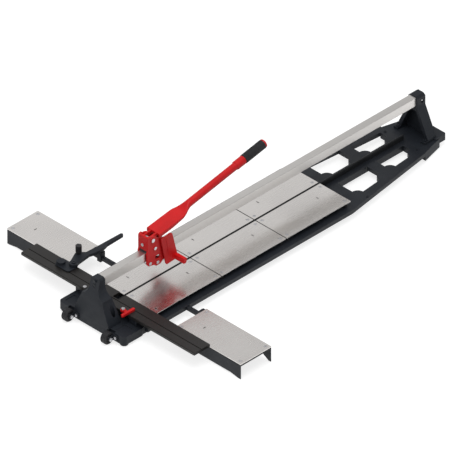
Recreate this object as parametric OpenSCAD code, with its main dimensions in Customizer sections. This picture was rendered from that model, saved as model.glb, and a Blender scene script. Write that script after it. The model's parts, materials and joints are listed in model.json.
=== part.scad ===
// Manual tile cutter with a full-length guide rail, a lever carriage, a floating
// bed of aluminium plates, two pull-out side arms, a fence and a swivelling side stop.
// X runs across the machine, +Y from the front tower to the rear tower, Z = 0 is the floor.

/* [Bed] */
// Height of the bed plates' top face above the floor
bed_top = 60; // [58:1:64]
// Pitch of the bed plates along the scoring line
plate_pitch = 300; // [296:1:304]
// Number of bed plates in each row
plate_rows = 3; // [3:1:3]
// Width of a bed plate across the machine
plate_w = 142; // [138:1:144]
// Thickness of a bed plate
plate_t = 3; // [2.5:0.5:4]
// Width of the gap between the two rows of plates
centre_gap = 8; // [8:0.5:10]
// Seam between plates that follow each other
plate_seam = 3; // [1:0.5:3]

/* [Deck] */
// Half width of the deck tray in front of its taper
deck_half_w = 167; // [164:1:170]
// Height of the deck's top face above the floor
deck_top = 40; // [39:1:41]
// Thickness of the deck's sheet
deck_t = 3; // [2:0.5:4]
// Height of the deck's folded lip
deck_lip = 15; // [12:1:16]
// Distance from the plates' front edge to the start of the taper
taper_start = 885; // [870:1:900]
// Distance from the plates' front edge to the deck's rear end
deck_end = 1290; // [1285:1:1295]
// Half width of the deck at its rear end
deck_end_half_w = 106; // [104:1:110]

/* [Guide rail] */
// Width of the guide rail
rail_w = 29; // [27:1:30]
// Height of the guide rail's section
rail_h = 34; // [32:1:34]
// Clear height from the bed plates to the guide rail
rail_clear = 98; // [96:1:100]
// Wall thickness of the rail's hollow section
rail_wall = 4; // [3:0.5:5]

/* [Fence] */
// Half length of the fence
fence_half_l = 400; // [380:1:410]
// Depth of the fence from front to rear
fence_d = 72; // [70:1:74]
// Thickness of the fence
fence_t = 10; // [9:0.5:10]

/* [Side arms] */
// Distance from the scoring line to a side plate's inner edge
arm_inner = 242; // [240:1:250]
// Length of a side arm's plate
arm_l = 298; // [290:1:300]
// Width of a guide rod's section
rod_w = 14; // [12:1:14]
// Height of a guide rod's section
rod_h = 12; // [10:1:12]

/* [Handle] */
// Diameter of the handle's tube
tube_d = 26; // [24:1:28]
// Diameter of the handle's grip
grip_d = 33; // [31:1:34]

/* [Wheels] */
// Diameter of a transport wheel
wheel_d = 44; // [42:1:45]
// Diameter of the scoring wheel
cutter_d = 22; // [20:1:24]

/* [Hidden] */
$fn = 48;
eps = 0.01;
run_gap = 0.3;
pin_gap = 0.05;
black = [0.15, 0.155, 0.17];
dark_grey = [0.24, 0.235, 0.23];
plate_grey = [0.8, 0.78, 0.76];
rail_grey = [0.76, 0.75, 0.73];
red = [0.8, 0.12, 0.12];
zinc = [0.75, 0.76, 0.78];
rubber_grey = [0.09, 0.09, 0.1];

// Lengthwise stations, measured from the bed plates' front edge
tower_front = -154;
wheel_y = -171;
rear_step_end = 1410;
mid_y = (rear_step_end + wheel_y - wheel_d / 2) / 2;
casting_end = 150;
deck_front = -60;
rear_casting_end = 1380;
rear_tower_front = 1334;
rear_tower_end = 1372;
fence_back = -8;
fence_front = fence_back - fence_d;
fence_z = bed_top;
fence_top = bed_top + fence_t;
rail_z = bed_top + rail_clear;
rail_top = rail_z + rail_h;
tower_top = bed_top + 135;
head_half_w = 20;
deck_under = deck_top - deck_t;
lip_z = deck_top - deck_lip;
foot_h = 5;
casting_z = 10;
front_half_w = 152;
corner_foot_x = front_half_w - 17;
corner_foot_y = tower_front + 17;
inner_foot_x = 110;
inner_foot_y = casting_end - 24;
tower_bolt_x = 62;
tower_bolt_y = -118;
rear_bolt_x = 63;
rear_bolt_y = rear_tower_front - 8;
rear_wall = 10;
hang_hole_y = 1357;
hang_hole_z = bed_top + 110;
hang_hole_r = 7;

// Side arms
arm_d = 142;
arm_y0 = fence_back + 0.5;
arm_y1 = arm_y0 + arm_d - 0.5;
arm_outer = arm_inner + arm_l;
rod_z = deck_under - run_gap - rod_h;
rod_front_y = 12;
rod_rear_y = 124;
rod_inner = 60;
rod_outer = arm_inner + 120;
arm_t = 3;
arm_web_z = bed_top - plate_t - 4 - arm_t;

// Carriage pivots, as distances along the rail and heights
pivot_y = 106;
pivot_z = bed_top + 176;
pivot_r = 5;
axle_r = 4;
top_roller_y = 116;
top_roller_r = 8.5;
top_roller_z = rail_top + top_roller_r + 0.1;
low_roller_r = 8.5;
low_roller_z = rail_z - low_roller_r - 0.1;
low_roller_ys = [94, 182];
cheek_in = rail_w / 2 + 2;
cheek_out = cheek_in + 6;
arm_pivot_y = 128;
arm_pivot_z = bed_top + 79;
wheel_arm_l = 60;
wheel_arm_tilt = -20;

// Handle line: shoulder, then tube, collar, grip and cap
tube_start = [292, bed_top + 219];
grip_end = [642, bed_top + 287];
tube_len = norm(grip_end - tube_start);
tube_tilt = atan2(grip_end[1] - tube_start[1], grip_end[0] - tube_start[0]);
grip_len = 90;
eyelet_at = 113;
collar_len = 40;
cap_len = 8;

// Puts geometry measured from the plates' front edge into the machine's frame.
module placed() {
    translate([0, -mid_y, 0]) children();
}

// A box from its lowest corner to its highest corner.
module block(low, high) {
    translate(low) cube(high - low);
}

// A box with its four upright edges rounded.
module round_block(low, high, r) {
    size = high - low;
    translate(low) linear_extrude(size[2]) round_rect(size[0], size[1], r);
}

// A rectangle from the origin with rounded corners, drawn as two bars and four discs.
module round_rect(w, d, r) {
    translate([r, 0]) square([w - 2 * r, d]);
    translate([0, r]) square([w, d - 2 * r]);
    for (x = [r, w - r], y = [r, d - r]) {
        translate([x, y]) circle(r);
    }
}

// A cylinder along X, centred on a point.
module x_rod(at, r, l) {
    translate(at) rotate([0, 90, 0]) cylinder(r = r, h = l, center = true);
}

// A cylinder along Y, starting at a point.
module y_rod(at, r, l) {
    translate(at) rotate([-90, 0, 0]) cylinder(r = r, h = l);
}

// An outline in the Y-Z plane, extruded along X from x0 to x1.
module side_plate(points, x0, x1) {
    translate([x0, 0, 0]) rotate([90, 0, 90]) linear_extrude(x1 - x0) polygon(points);
}

// An outline in the X-Z plane, extruded along Y from y0 to y1.
module front_plate(points, y0, y1) {
    translate([0, y1, 0]) rotate([90, 0, 0]) linear_extrude(y1 - y0) polygon(points);
}

// A pan-head screw that stands on a face, head up, with a hexagon socket.
module pan_screw(head_r, head_h, shank_r, shank_l) {
    difference() {
        union() {
            cylinder(r = head_r, h = head_h);
            translate([0, 0, -shank_l]) cylinder(r = shank_r, h = shank_l + eps);
        }
        translate([0, 0, head_h * 0.4]) cylinder(r = head_r * 0.5, h = head_h, $fn = 6);
    }
}

// A hexagon-headed bolt along +X, head outwards.
module hex_bolt_x(head_r, head_h, shank_r, shank_l) {
    rotate([0, 90, 0]) {
        cylinder(r = head_r, h = head_h, $fn = 6);
        translate([0, 0, -shank_l]) cylinder(r = shank_r, h = shank_l + eps);
    }
}

// Points of an arc round a centre, from angle a0 to angle a1.
function arc(c, r, a0, a1, n = 8) =
    [for (i = [0 : n]) c + r * [cos(a0 + (a1 - a0) * i / n), sin(a0 + (a1 - a0) * i / n)]];

function flip_x(points) = [for (i = [len(points) - 1 : -1 : 0]) [-points[i][0], points[i][1]]];

// Half width of the tapering deck at a station.
function taper_at(y) = deck_half_w
    - (deck_half_w - deck_end_half_w) * max(0, y - taper_start) / (deck_end - taper_start);

// ---------------------------------------------------------------- deck

// Outline of the deck, inset by a margin.
module deck_outline(inset = 0) {
    half = deck_half_w - inset;
    rear = deck_end_half_w - inset;
    polygon([[-half, deck_front + inset], [half, deck_front + inset],
        [half, taper_start], [rear, deck_end - inset], [-rear, deck_end - inset],
        [-half, taper_start]]);
}

opening_inner = 25;
opening_margin_front = 38;
opening_margin_rear = 29;
opening_rows = [[959, 1095], [1137, 1264]];
boss_r = 26;
bossed_outer = [1, 2];
bossed_inner = [0, 3];

// Corners of one rear opening, grown by a margin.
function opening_corners(y0, y1, grow = 0) = [[opening_inner - grow, y0 - grow],
    [taper_at(y0) - opening_margin_front + grow, y0 - grow],
    [taper_at(y1) - opening_margin_rear + grow, y1 + grow], [opening_inner - grow, y1 + grow]];

// One opening of a row, on the right or mirrored to the left. Round bosses cut its two
// corners on +X, which are the outer ones on the right and the inner ones on the left.
module deck_opening(row, side) {
    corners = opening_corners(row[0], row[1]);
    mirror([side, 0]) difference() {
        polygon(corners);
        for (i = side == 0 ? bossed_outer : bossed_inner) {
            translate(corners[i]) circle(boss_r);
        }
    }
}

module all_openings() {
    for (row = opening_rows, side = [0, 1]) {
        deck_opening(row, side);
    }
}

module deck_tray() {
    color(black) placed() difference() {
        union() {
            translate([0, 0, deck_under]) linear_extrude(deck_t) deck_outline();
            difference() {
                translate([0, 0, lip_z]) linear_extrude(deck_lip - 1) deck_outline();
                translate([0, 0, lip_z - 1]) linear_extrude(deck_lip) deck_outline(deck_t);
            }
            for (row = opening_rows, side = [0, 1]) {
                opening_rim(row, side);
            }
        }
        for (y = [rod_front_y, rod_rear_y]) {
            block([-deck_half_w - 1, y - rod_w / 2 - 1, lip_z - 1],
                [deck_half_w + 1, y + rod_w / 2 + 1, deck_under]);
        }
        translate([0, 0, lip_z - 1]) linear_extrude(deck_lip + 2) all_openings();
        // clear the lips and rims where the castings and the spine beam meet the sheet
        block([-26, casting_end - 1, lip_z - 1], [26, deck_end + 1, deck_under]);
        block([-front_half_w, deck_front - 1, lip_z - 1],
            [front_half_w, deck_front + 4, deck_under]);
        block([-86, deck_end - 24, lip_z - 1], [86, deck_end + 1, deck_under]);
        at_bed_screws() translate([0, 0, deck_under - 1]) cylinder(r = 3, h = deck_t + 2);
        at_deck_screws() translate([0, 0, -deck_t - 1]) cylinder(r = 2.1, h = deck_t + 2);
    }
}

// Calls its children at each screw along the deck's rear edges.
module at_deck_screws() {
    for (s = [-1, 1]) {
        translate([s * (taper_at(974) - 8), 974, deck_top]) children();
        translate([s * 74, deck_end - 10, deck_top]) children();
    }
}

// The folded rim that stiffens one rear opening.
module opening_rim(row, side) {
    translate([0, 0, lip_z]) linear_extrude(deck_lip - 1) difference() {
        mirror([side, 0]) polygon(opening_corners(row[0], row[1], 3));
        deck_opening(row, side);
    }
}

module spine_beam() {
    w = 22;
    wall = 4;
    color(black) placed() difference() {
        block([-w, casting_end, casting_z + 4], [w, deck_end, deck_under]);
        block([-w + wall, casting_end - 1, casting_z], [w - wall, deck_end + 1, deck_under - wall]);
    }
}

module breaking_bar() {
    half = 3;
    crown = 2;
    color(dark_grey) placed() front_plate([[-half, deck_top], [half, deck_top],
        [half, bed_top - crown], [crown / 2, bed_top - 0.5], [-crown / 2, bed_top - 0.5],
        [-half, bed_top - crown]], -44, deck_end);
}

// ---------------------------------------------------------------- castings and towers

// Calls its children at each foot of the front casting.
module at_front_feet() {
    for (s = [-1, 1]) {
        translate([s * corner_foot_x, corner_foot_y, 0]) children();
        translate([s * inner_foot_x, inner_foot_y, 0]) children();
    }
}

module front_casting() {
    side = front_half_w;
    front = tower_front;
    color(black) placed() difference() {
        union() {
            round_block([-side, front, casting_z], [side, deck_front, deck_top], 14);
            block([-side + 4, deck_front - 10, casting_z], [side - 4, casting_end, deck_under]);
            for (s = [-1, 1]) {
                translate([s * corner_foot_x, corner_foot_y, 3]) cylinder(r1 = 14, r2 = 17, h = 12);
                translate([s * inner_foot_x, inner_foot_y, 3]) cylinder(r = 15, h = 12);
            }
        }
        at_front_feet() translate([0, 0, 2]) cylinder(r = 10.1, h = foot_h - 2);
        for (y = [rod_front_y, rod_rear_y]) {
            block([-side - 1, y - rod_w / 2 - run_gap, rod_z - run_gap],
                [side + 1, y + rod_w / 2 + run_gap, deck_under + 1]);
        }
        for (x0 = [-118, 14]) {
            block([x0, front + 12, casting_z - 1], [x0 + 104, -10, deck_top - 8]);
            block([x0, 32, casting_z - 1], [x0 + 104, rod_rear_y - 20, deck_under - 7]);
        }
        for (x = [-wheel_x, wheel_x]) {
            y_rod([x + bracket_bolt_dx, front - 1, bracket_bolt_z], 3, 9);
            // pocket, open above, that takes the back of the wheel and its bracket
            block([x - bracket_half - 0.2, front - 1, casting_z - 1],
                [x + bracket_half + 0.2, bracket_back, deck_top + 1]);
        }
        // a shallow recess in the top at each front corner
        for (s = [-1, 1]) {
            translate([s * 118, front + 40, deck_top - 2])
                linear_extrude(3) translate([-20, -26]) round_rect(40, 44, 6);
        }
    }
}

// Front view of the front tower: a flared foot, concave flanks and a narrow head.
function front_tower_right() = concat(
    [[80, deck_top], [78, deck_top + 10], [57, bed_top + 40], [50, bed_top + 56]],
    arc([52, bed_top + 96], 30, 262, 190, 6),
    [[head_half_w, bed_top + 98], [head_half_w, tower_top - 6], [head_half_w - 6, tower_top]]);

function front_tower_side() = [[tower_front, deck_top], [tower_front + 2, bed_top + 50],
    [-132, tower_top], [-109, tower_top], [-108, bed_top + 90], [-100, bed_top + 30],
    [-96, deck_top]];

module front_tower() {
    pocket = rail_w / 2 + 0.2;
    color(black) placed() difference() {
        intersection() {
            front_plate(concat(front_tower_right(), flip_x(front_tower_right())),
                tower_front - 1, -90);
            side_plate(front_tower_side(), -90, 90);
        }
        block([-pocket, -122, rail_z - 0.2], [pocket, -80, rail_top + 0.2]);
        block([-36, tower_front + 12, deck_top - 1], [36, -90, bed_top + 34]);
        for (x = [-tower_bolt_x, tower_bolt_x]) {
            translate([x, tower_bolt_y, deck_top - 1]) cylinder(r = 4.2, h = 60);
            translate([x, tower_bolt_y, deck_top + 9]) cylinder(r = 9, h = 60);
        }
        for (z = [rail_z + 9, rail_top - 9]) {
            y_rod([0, tower_front - 1, z], 3.2, 60);
            y_rod([0, tower_front - 1, z], 6, 22);
        }
    }
}

// Calls its children at each foot of the rear casting.
module at_rear_feet() {
    for (s = [-1, 1]) {
        translate([s * 80, deck_end + 14, 0]) children();
        translate([s * 69, rear_casting_end - 14, 0]) children();
    }
}

module rear_casting() {
    z0 = 4;
    front_half = 103;
    rear_half = 80;
    y0 = deck_end + 0.5;
    y1 = rear_casting_end;
    color(black) placed() difference() {
        union() {
            translate([0, 0, z0]) linear_extrude(deck_top - 2 - z0)
                polygon([[-front_half, y0], [front_half, y0], [rear_half, y1], [-rear_half, y1]]);
            round_block([-rear_half, y1 - 20, 20], [rear_half, rear_step_end, 45], 6);
            block([-84, deck_end - 22, casting_z + 4], [84, y0 + 5, deck_under]);
        }
        block([-23, deck_end - 23, 0], [23, deck_end + 0.3, deck_under + 1]);
        for (x0 = [-72, 12]) {
            block([x0, y0 + 8, z0 - 1], [x0 + 60, y1 - 10, deck_top - 9]);
        }
        at_rear_feet() translate([0, 0, 2]) cylinder(r = 8.1, h = foot_h - 2);
        // seat for the feet of the rear tower
        block([-72.2, y1 - 25, deck_top - 2], [72.2, y1 + 0.2, deck_top + 10]);
    }
}

// The hollow between the legs of the rear tower.
module rear_tower_hollow() {
    polygon([[-54, deck_top - 3], [54, deck_top - 3], [54, deck_top + 9],
        [15, bed_top + 78], [-15, bed_top + 78], [-54, deck_top + 9]]);
}

// Front view of the rear tower: a wide foot that narrows to a head.
module rear_tower_outline() {
    head = 21;
    leg = 70;
    polygon([[-leg, deck_top - 2], [leg, deck_top - 2], [leg, deck_top + 10],
        [head, bed_top + 94], [head, tower_top - 7], [head - 9, tower_top],
        [-head + 9, tower_top], [-head, tower_top - 7], [-head, bed_top + 94],
        [-leg, deck_top + 10]]);
}

module rear_tower() {
    pocket = rail_w / 2 + 0.2;
    foot_out = 72;
    foot_w = 18;
    color(black) placed() difference() {
        union() {
            translate([0, rear_tower_end, 0]) rotate([90, 0, 0])
                linear_extrude(rear_tower_end - rear_tower_front) rear_tower_outline();
            for (x = [-foot_out, foot_out - foot_w]) {
                block([x, rear_tower_front - 16, deck_top - 2],
                    [x + foot_w, rear_casting_end, deck_top + 6]);
            }
        }
        translate([0, rear_tower_end - rear_wall, 0]) rotate([90, 0, 0])
            linear_extrude(80) rear_tower_hollow();
        block([-pocket, rear_tower_front - 20, rail_z - 0.2],
            [pocket, rear_tower_end + 1, rail_top + 0.2]);
        x_rod([0, hang_hole_y, hang_hole_z], hang_hole_r, 60);
        for (x = [-rear_bolt_x, rear_bolt_x]) {
            translate([x, rear_bolt_y, deck_top - 3]) cylinder(r = 3.2, h = 20);
        }
    }
}

module guide_rail() {
    c = 1.5;
    w = rail_w / 2;
    in = w - rail_wall;
    web = rail_h / 2;
    color(rail_grey) placed() difference() {
        front_plate([[-w + c, rail_z], [w - c, rail_z], [w, rail_z + c], [w, rail_top - c],
            [w - c, rail_top], [-w + c, rail_top], [-w, rail_top - c], [-w, rail_z + c]],
            -121.5, rear_tower_front + 9);
        for (z0 = [rail_z + rail_wall, rail_z + web + 2]) {
            block([-in, -106, z0], [in, rear_tower_front - 4, z0 + web - rail_wall - 2]);
        }
    }
}

module rubber_feet() {
    color(rubber_grey) placed() {
        at_front_feet() cylinder(r = 10, h = foot_h);
        at_rear_feet() cylinder(r = 8, h = foot_h);
    }
}

// Screws of the deck and the towers.
module frame_bolts() {
    color(black) placed() {
        at_deck_screws() pan_screw(4.5, 2.5, 2, deck_t - 0.1);
        for (x = [-tower_bolt_x, tower_bolt_x]) {
            translate([x, tower_bolt_y, deck_top + 9]) pan_screw(6.5, 6, 4, 9);
        }
        for (x = [-rear_bolt_x, rear_bolt_x]) {
            translate([x, rear_bolt_y, deck_top + 6]) pan_screw(5.5, 5, 3, 8);
        }
    }
}

// Bolts that clamp the rail's front end to the front tower.
module rail_bolts() {
    color(black) placed() {
        for (z = [rail_z + 9, rail_top - 9]) {
            y_rod([0, -135, z], 3, 13);
            y_rod([0, -139, z], 5, 6);
        }
    }
}

// ---------------------------------------------------------------- bed plates

screw_inset = 14;
screw_sink = 1.5;

// One aluminium plate from the origin, with screw holes and its short slot.
module plate_blank(w, l, slot_at, slot_along_x) {
    slot = slot_along_x ? [12, 3] : [3, 12];
    difference() {
        linear_extrude(plate_t) round_rect(w, l, 1.5);
        for (x = [screw_inset, w - screw_inset], y = [screw_inset, l - screw_inset]) {
            translate([x, y, -1]) cylinder(r = 3.2, h = plate_t + 2);
            translate([x, y, plate_t - screw_sink]) cylinder(r = 5.9, h = plate_t);
        }
        translate([slot_at[0] - slot[0] / 2, slot_at[1] - slot[1] / 2, -1])
            linear_extrude(plate_t + 2) round_rect(slot[0], slot[1], 1.2);
    }
}

plate_x0 = centre_gap / 2;

module right_plate(row, ringed) {
    color(plate_grey) placed()
        translate([plate_x0, row * plate_pitch, bed_top - plate_t]) difference() {
            plate_blank(plate_w, plate_pitch - plate_seam, [52, 232], true);
            if (ringed) {
                translate([120, 19, -1]) cylinder(r = 3.5, h = plate_t + 2);
                translate([120, 19, plate_t - 1]) difference() {
                    cylinder(r = 6, h = 2);
                    translate([0, 0, -1]) cylinder(r = 5, h = 4);
                }
            }
        }
}

module left_plate(row) {
    color(plate_grey) placed()
        translate([-plate_x0 - plate_w, row * plate_pitch, bed_top - plate_t])
            plate_blank(plate_w, plate_pitch - plate_seam, [plate_w - 61, 77], true);
}

module bed_plate_front_left() { left_plate(0); }
module bed_plate_middle_left() { left_plate(1); }
module bed_plate_rear_left() { left_plate(2); }
module bed_plate_front_right() { right_plate(0, true); }
module bed_plate_middle_right() { right_plate(1, false); }
module bed_plate_rear_right() { right_plate(2, false); }

// Calls its children at each screw position of the six bed plates.
module at_bed_screws() {
    for (row = [0 : plate_rows - 1], side = [-1, 1]) {
        for (x = [screw_inset, plate_w - screw_inset],
            y = [screw_inset, plate_pitch - plate_seam - screw_inset]) {
            translate([side * (plate_x0 + x), row * plate_pitch + y, 0]) children();
        }
    }
}

module cushion(base = deck_top) {
    difference() {
        translate([0, 0, base]) cylinder(r = 8, h = bed_top - plate_t - base);
        translate([0, 0, base - 1]) cylinder(r = 3.2, h = bed_top);
    }
}

// A flat screw, with its head sunk just below the plate's face, that ends at a height.
module plate_screw(low = deck_under + 0.1) {
    seat = bed_top - screw_sink;
    translate([0, 0, seat]) pan_screw(5.5, screw_sink - 0.2, 2.9, seat - low);
}

module plate_cushions() {
    color(rubber_grey) placed() at_bed_screws() cushion();
}

module plate_screws() {
    color(zinc) placed() at_bed_screws() plate_screw();
}

// ---------------------------------------------------------------- fence

notch_half = 14;
groove_y = -48;
fence_block_x = 114;

module fence() {
    color(dark_grey) placed() difference() {
        block([-fence_half_l, fence_front, fence_z], [fence_half_l, fence_back, fence_top]);
        block([-notch_half, groove_y + 6, fence_z - 1], [notch_half, fence_back + 1, fence_top + 1]);
        block([-fence_half_l - 1, groove_y - 1.5, fence_top - 2.5],
            [fence_half_l + 1, groove_y + 1.5, fence_top + 1]);
        block([-fence_half_l - 1, fence_front - 1, fence_top - 1.5],
            [fence_half_l + 1, fence_front + 1.5, fence_top + 1]);
        translate([-fence_block_x, fence_front + 10, fence_z - 1])
            cylinder(r = 3.2, h = fence_t + 2);
    }
}

// Spacer blocks that carry the fence above the front casting.
module fence_blocks() {
    color(black) placed() {
        for (x = [-fence_block_x, fence_block_x]) {
            difference() {
                round_block([x - 16, fence_front + 1, deck_top],
                    [x + 16, fence_front + 19, fence_z], 4);
                translate([x, fence_front + 10, deck_top - 1]) cylinder(r = 3.2, h = 30);
            }
        }
        for (x = [-70, 40]) {
            round_block([x, fence_front + 22, deck_top], [x + 30, fence_back - 12, fence_z], 4);
        }
    }
}

module fence_screw() {
    color(zinc) placed() translate([-fence_block_x, fence_front + 10, fence_top])
        pan_screw(6, 3, 3, fence_t + 15);
}

lever_x = 70;
lever_y = -77;

module fence_lock_lever() {
    z0 = fence_top + run_gap;
    color(red) placed() difference() {
        union() {
            translate([lever_x, lever_y, z0]) cylinder(r = 9, h = 7);
            block([lever_x, lever_y - 6, z0], [88, lever_y + 6, z0 + 6]);
            round_block([86, -105, z0], [96, -46, z0 + 8], 4);
        }
        translate([lever_x, lever_y, z0 - 1]) cylinder(r = 4 + pin_gap, h = 12);
    }
}

module fence_lock_screw() {
    z0 = fence_top + run_gap;
    color(zinc) placed() {
        translate([lever_x, lever_y, fence_top]) cylinder(r = 4, h = 7.6);
        translate([lever_x, lever_y, z0 + 7.3]) pan_screw(6.5, 4, 3, 2);
    }
}

// ---------------------------------------------------------------- transport wheels

wheel_x = 90;
wheel_w = 22;
bracket_bolt_dx = 26;
bracket_bolt_z = 27;
wheel_z = wheel_d / 2 + 0.5;
bracket_half = wheel_w / 2 + 4.5;
bracket_back = tower_front + 9.2;

module transport_wheel(x) {
    color(rubber_grey) placed() translate([x, wheel_y, wheel_z]) rotate([0, 90, 0])
        rotate_extrude() difference() {
            translate([4 + pin_gap, -wheel_w / 2]) square([wheel_d / 2 - 4 - pin_gap, wheel_w]);
            for (s = [-1, 1]) {
                translate([wheel_d / 2, s * wheel_w / 2]) rotate(45) square(4, center = true);
                translate([11.5, s * wheel_w / 2]) square([7, 5], center = true);
            }
        }
}

module transport_wheel_left() { transport_wheel(-wheel_x); }
module transport_wheel_right() { transport_wheel(wheel_x); }

// Forked brackets that carry the wheels in front of the casting.
module wheel_brackets() {
    color(black) placed() {
        for (x = [-wheel_x, wheel_x]) {
            difference() {
                union() {
                    for (s = [-1, 1]) {
                        bracket_cheek(x + s * (wheel_w / 2 + 2.5));
                    }
                    block([x - bracket_half, bracket_back - 3.5, wheel_z - 9],
                        [x + bracket_half, bracket_back, wheel_z + 9]);
                    block([x + bracket_half - 4, tower_front - 4, wheel_z - 8],
                        [x + 34, tower_front, wheel_z + 14]);
                }
                y_rod([x + bracket_bolt_dx, tower_front - 5, bracket_bolt_z], 3, 6);
            }
        }
    }
}

// One upright cheek of a wheel bracket, rounded about the axle.
module bracket_cheek(x) {
    difference() {
        union() {
            x_rod([x, wheel_y, wheel_z], 9, 4);
            block([x - 2, wheel_y, wheel_z - 9], [x + 2, bracket_back, wheel_z + 9]);
        }
        x_rod([x, wheel_y, wheel_z], 4, 6);
    }
}

module wheel_axles() {
    color(zinc) placed() {
        for (x = [-wheel_x, wheel_x]) {
            x_rod([x, wheel_y, wheel_z], 4, wheel_w + 10);
            translate([x + wheel_w / 2 + 4.5, wheel_y, wheel_z]) hex_bolt_x(7, 5, 4, 0);
            translate([x - wheel_w / 2 - 8.5, wheel_y, wheel_z]) hex_bolt_x(7, 4, 4, 0);
            y_rod([x + bracket_bolt_dx, tower_front - 4, bracket_bolt_z], 3, 12);
            translate([x + bracket_bolt_dx, tower_front - 8, bracket_bolt_z])
                rotate([-90, 0, 0]) cylinder(r = 6, h = 4, $fn = 6);
        }
    }
}

// ---------------------------------------------------------------- side arms

module mirrored(side) {
    mirror([side < 0 ? 1 : 0, 0, 0]) children();
}

// Folded steel channel under a side plate, with bars that carry it on its two rods.
module arm_frame(side) {
    x0 = arm_inner;
    x1 = arm_outer;
    color(black) placed() mirrored(side) difference() {
        union() {
            block([x0 + 2, arm_y0, arm_web_z], [x1 - 1, arm_y1, arm_web_z + arm_t]);
            side_flange(arm_y0, 6);
            side_flange(arm_y1 - arm_t, 20);
            for (y = [rod_front_y, rod_rear_y]) {
                block([x0 + 24, y - rod_w / 2, rod_z + rod_h],
                    [rod_outer, y + rod_w / 2, arm_web_z + eps]);
            }
        }
        for (y = [screw_inset, arm_d - screw_inset], x = [screw_inset, arm_l - screw_inset]) {
            translate([x0 + x, arm_y0 + y, arm_web_z - 1]) cylinder(r = 3, h = 6);
        }
    }
}

// A side flange of the arm, with its lower edge at a height and a foot at its outer end.
module side_flange(y, low) {
    x0 = arm_inner + 2;
    x1 = arm_outer - 1;
    front_plate([[x0, low + 6], [x0 + 8, low], [x1 - 44, low], [x1 - 10, 0], [x1, 0],
        [x1, bed_top - plate_t - 2], [x0, bed_top - plate_t - 2]], y, y + arm_t);
}

module arm_plate(side) {
    color(plate_grey) placed() translate([side < 0 ? -arm_outer : arm_inner, arm_y0, bed_top - plate_t])
        plate_blank(arm_l, arm_d, [70, 62], false);
}

module arm_rods(side) {
    color(black) placed() mirrored(side) {
        for (y = [rod_front_y, rod_rear_y]) {
            block([rod_inner, y - rod_w / 2, rod_z], [rod_outer, y + rod_w / 2, rod_z + rod_h]);
        }
    }
}

// Clamp block that holds the rear rod at the arm's inner corner.
module arm_clamp(side) {
    x0 = arm_inner - 16;
    y0 = rod_rear_y - rod_w / 2;
    y1 = rod_rear_y + rod_w / 2;
    color(black) placed() mirrored(side) {
        difference() {
            round_block([x0, y0 - 5, rod_z - 5], [arm_inner + 1.8, y1 + 4, bed_top - 6], 3);
            block([x0 - 1, y0, rod_z], [arm_inner + 10, y1, rod_z + rod_h]);
        }
        translate([x0 + 8, rod_rear_y, bed_top - 6]) cylinder(r = 5, h = 4);
    }
}

// Calls its children at each screw position of a side plate.
module at_arm_screws(side) {
    mirrored(side) {
        for (x = [screw_inset, arm_l - screw_inset], y = [screw_inset, arm_d - screw_inset]) {
            translate([arm_inner + x, arm_y0 + y, 0]) children();
        }
    }
}

module arm_cushions(side) {
    color(rubber_grey) placed() at_arm_screws(side) cushion(arm_web_z + arm_t);
}

module arm_screws(side) {
    color(zinc) placed() at_arm_screws(side) plate_screw(arm_web_z - 2);
}

module left_arm_frame() { arm_frame(-1); }
module left_arm_plate() { arm_plate(-1); }
module left_arm_rods() { arm_rods(-1); }
module left_arm_clamp() { arm_clamp(-1); }
module left_arm_cushions() { arm_cushions(-1); }
module left_arm_screws() { arm_screws(-1); }
module right_arm_frame() { arm_frame(1); }
module right_arm_plate() { arm_plate(1); }
module right_arm_rods() { arm_rods(1); }
module right_arm_clamp() { arm_clamp(1); }
module right_arm_cushions() { arm_cushions(1); }
module right_arm_screws() { arm_screws(1); }

// ---------------------------------------------------------------- swivelling side stop

stop_x = -222;
stop_y = -14;
stop_z = fence_top + run_gap;
stop_base_h = 4;
knob_x = -248;
knob_y = 34;

module stop_base() {
    color(black) placed() difference() {
        union() {
            round_block([stop_x - 54, groove_y - 5, stop_z],
                [stop_x + 14, fence_back - 1, stop_z + stop_base_h], 12);
            // key that runs in the fence's groove
            block([stop_x - 40, groove_y - 1, fence_top - 2], [stop_x + 2, groove_y + 1, stop_z + 1]);
            // boss that stays clear of the arm at its full swing
            translate([stop_x - 37, -36, stop_z]) cylinder(r = 15, h = 16);
        }
        translate([stop_x, stop_y, stop_z - 1]) cylinder(r = 3.2, h = 10);
    }
}

// Tapered arm with a round eye at the pivot and an ear that carries the knob.
module stop_arm() {
    z0 = stop_z + stop_base_h + run_gap;
    h = 11;
    root = [stop_x, stop_y];
    color(black) placed() difference() {
        union() {
            translate([root[0], root[1], z0]) cylinder(r = 15, h = h);
            translate([0, 0, z0]) linear_extrude(h) stop_arm_outline(root);
            translate([knob_x, knob_y, z0]) cylinder(r = 11, h = h);
        }
        translate([root[0], root[1], z0 - 1]) cylinder(r = 4 + pin_gap, h = h + 2);
        translate([knob_x, knob_y, z0 - 1]) cylinder(r = 3 + pin_gap, h = h + 2);
    }
}

module stop_arm_outline(root) {
    tip = 228;
    polygon(concat([[root[0] - 15, root[1]], [root[0] + 12, root[1]]],
        arc([root[0] - 110, root[1] + tip / 2 - 4], 121, -20, 20, 10),
        arc([root[0] - 4, root[1] + tip - 6], 6, 20, 190, 8),
        [[root[0] - 12, root[1] + tip / 2], [root[0] - 14, root[1] + 70],
        [knob_x - 2, knob_y + 10], [knob_x - 9, knob_y - 8]]));
}

module stop_pivot_screw() {
    z0 = stop_z + stop_base_h;
    color(black) placed() translate([stop_x, stop_y, 0]) {
        translate([0, 0, stop_z]) cylinder(r = 3, h = stop_base_h);
        translate([0, 0, z0]) cylinder(r = 4, h = 11.7);
        translate([0, 0, z0 + 11.6]) pan_screw(7, 3, 3, 2);
    }
}

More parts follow.
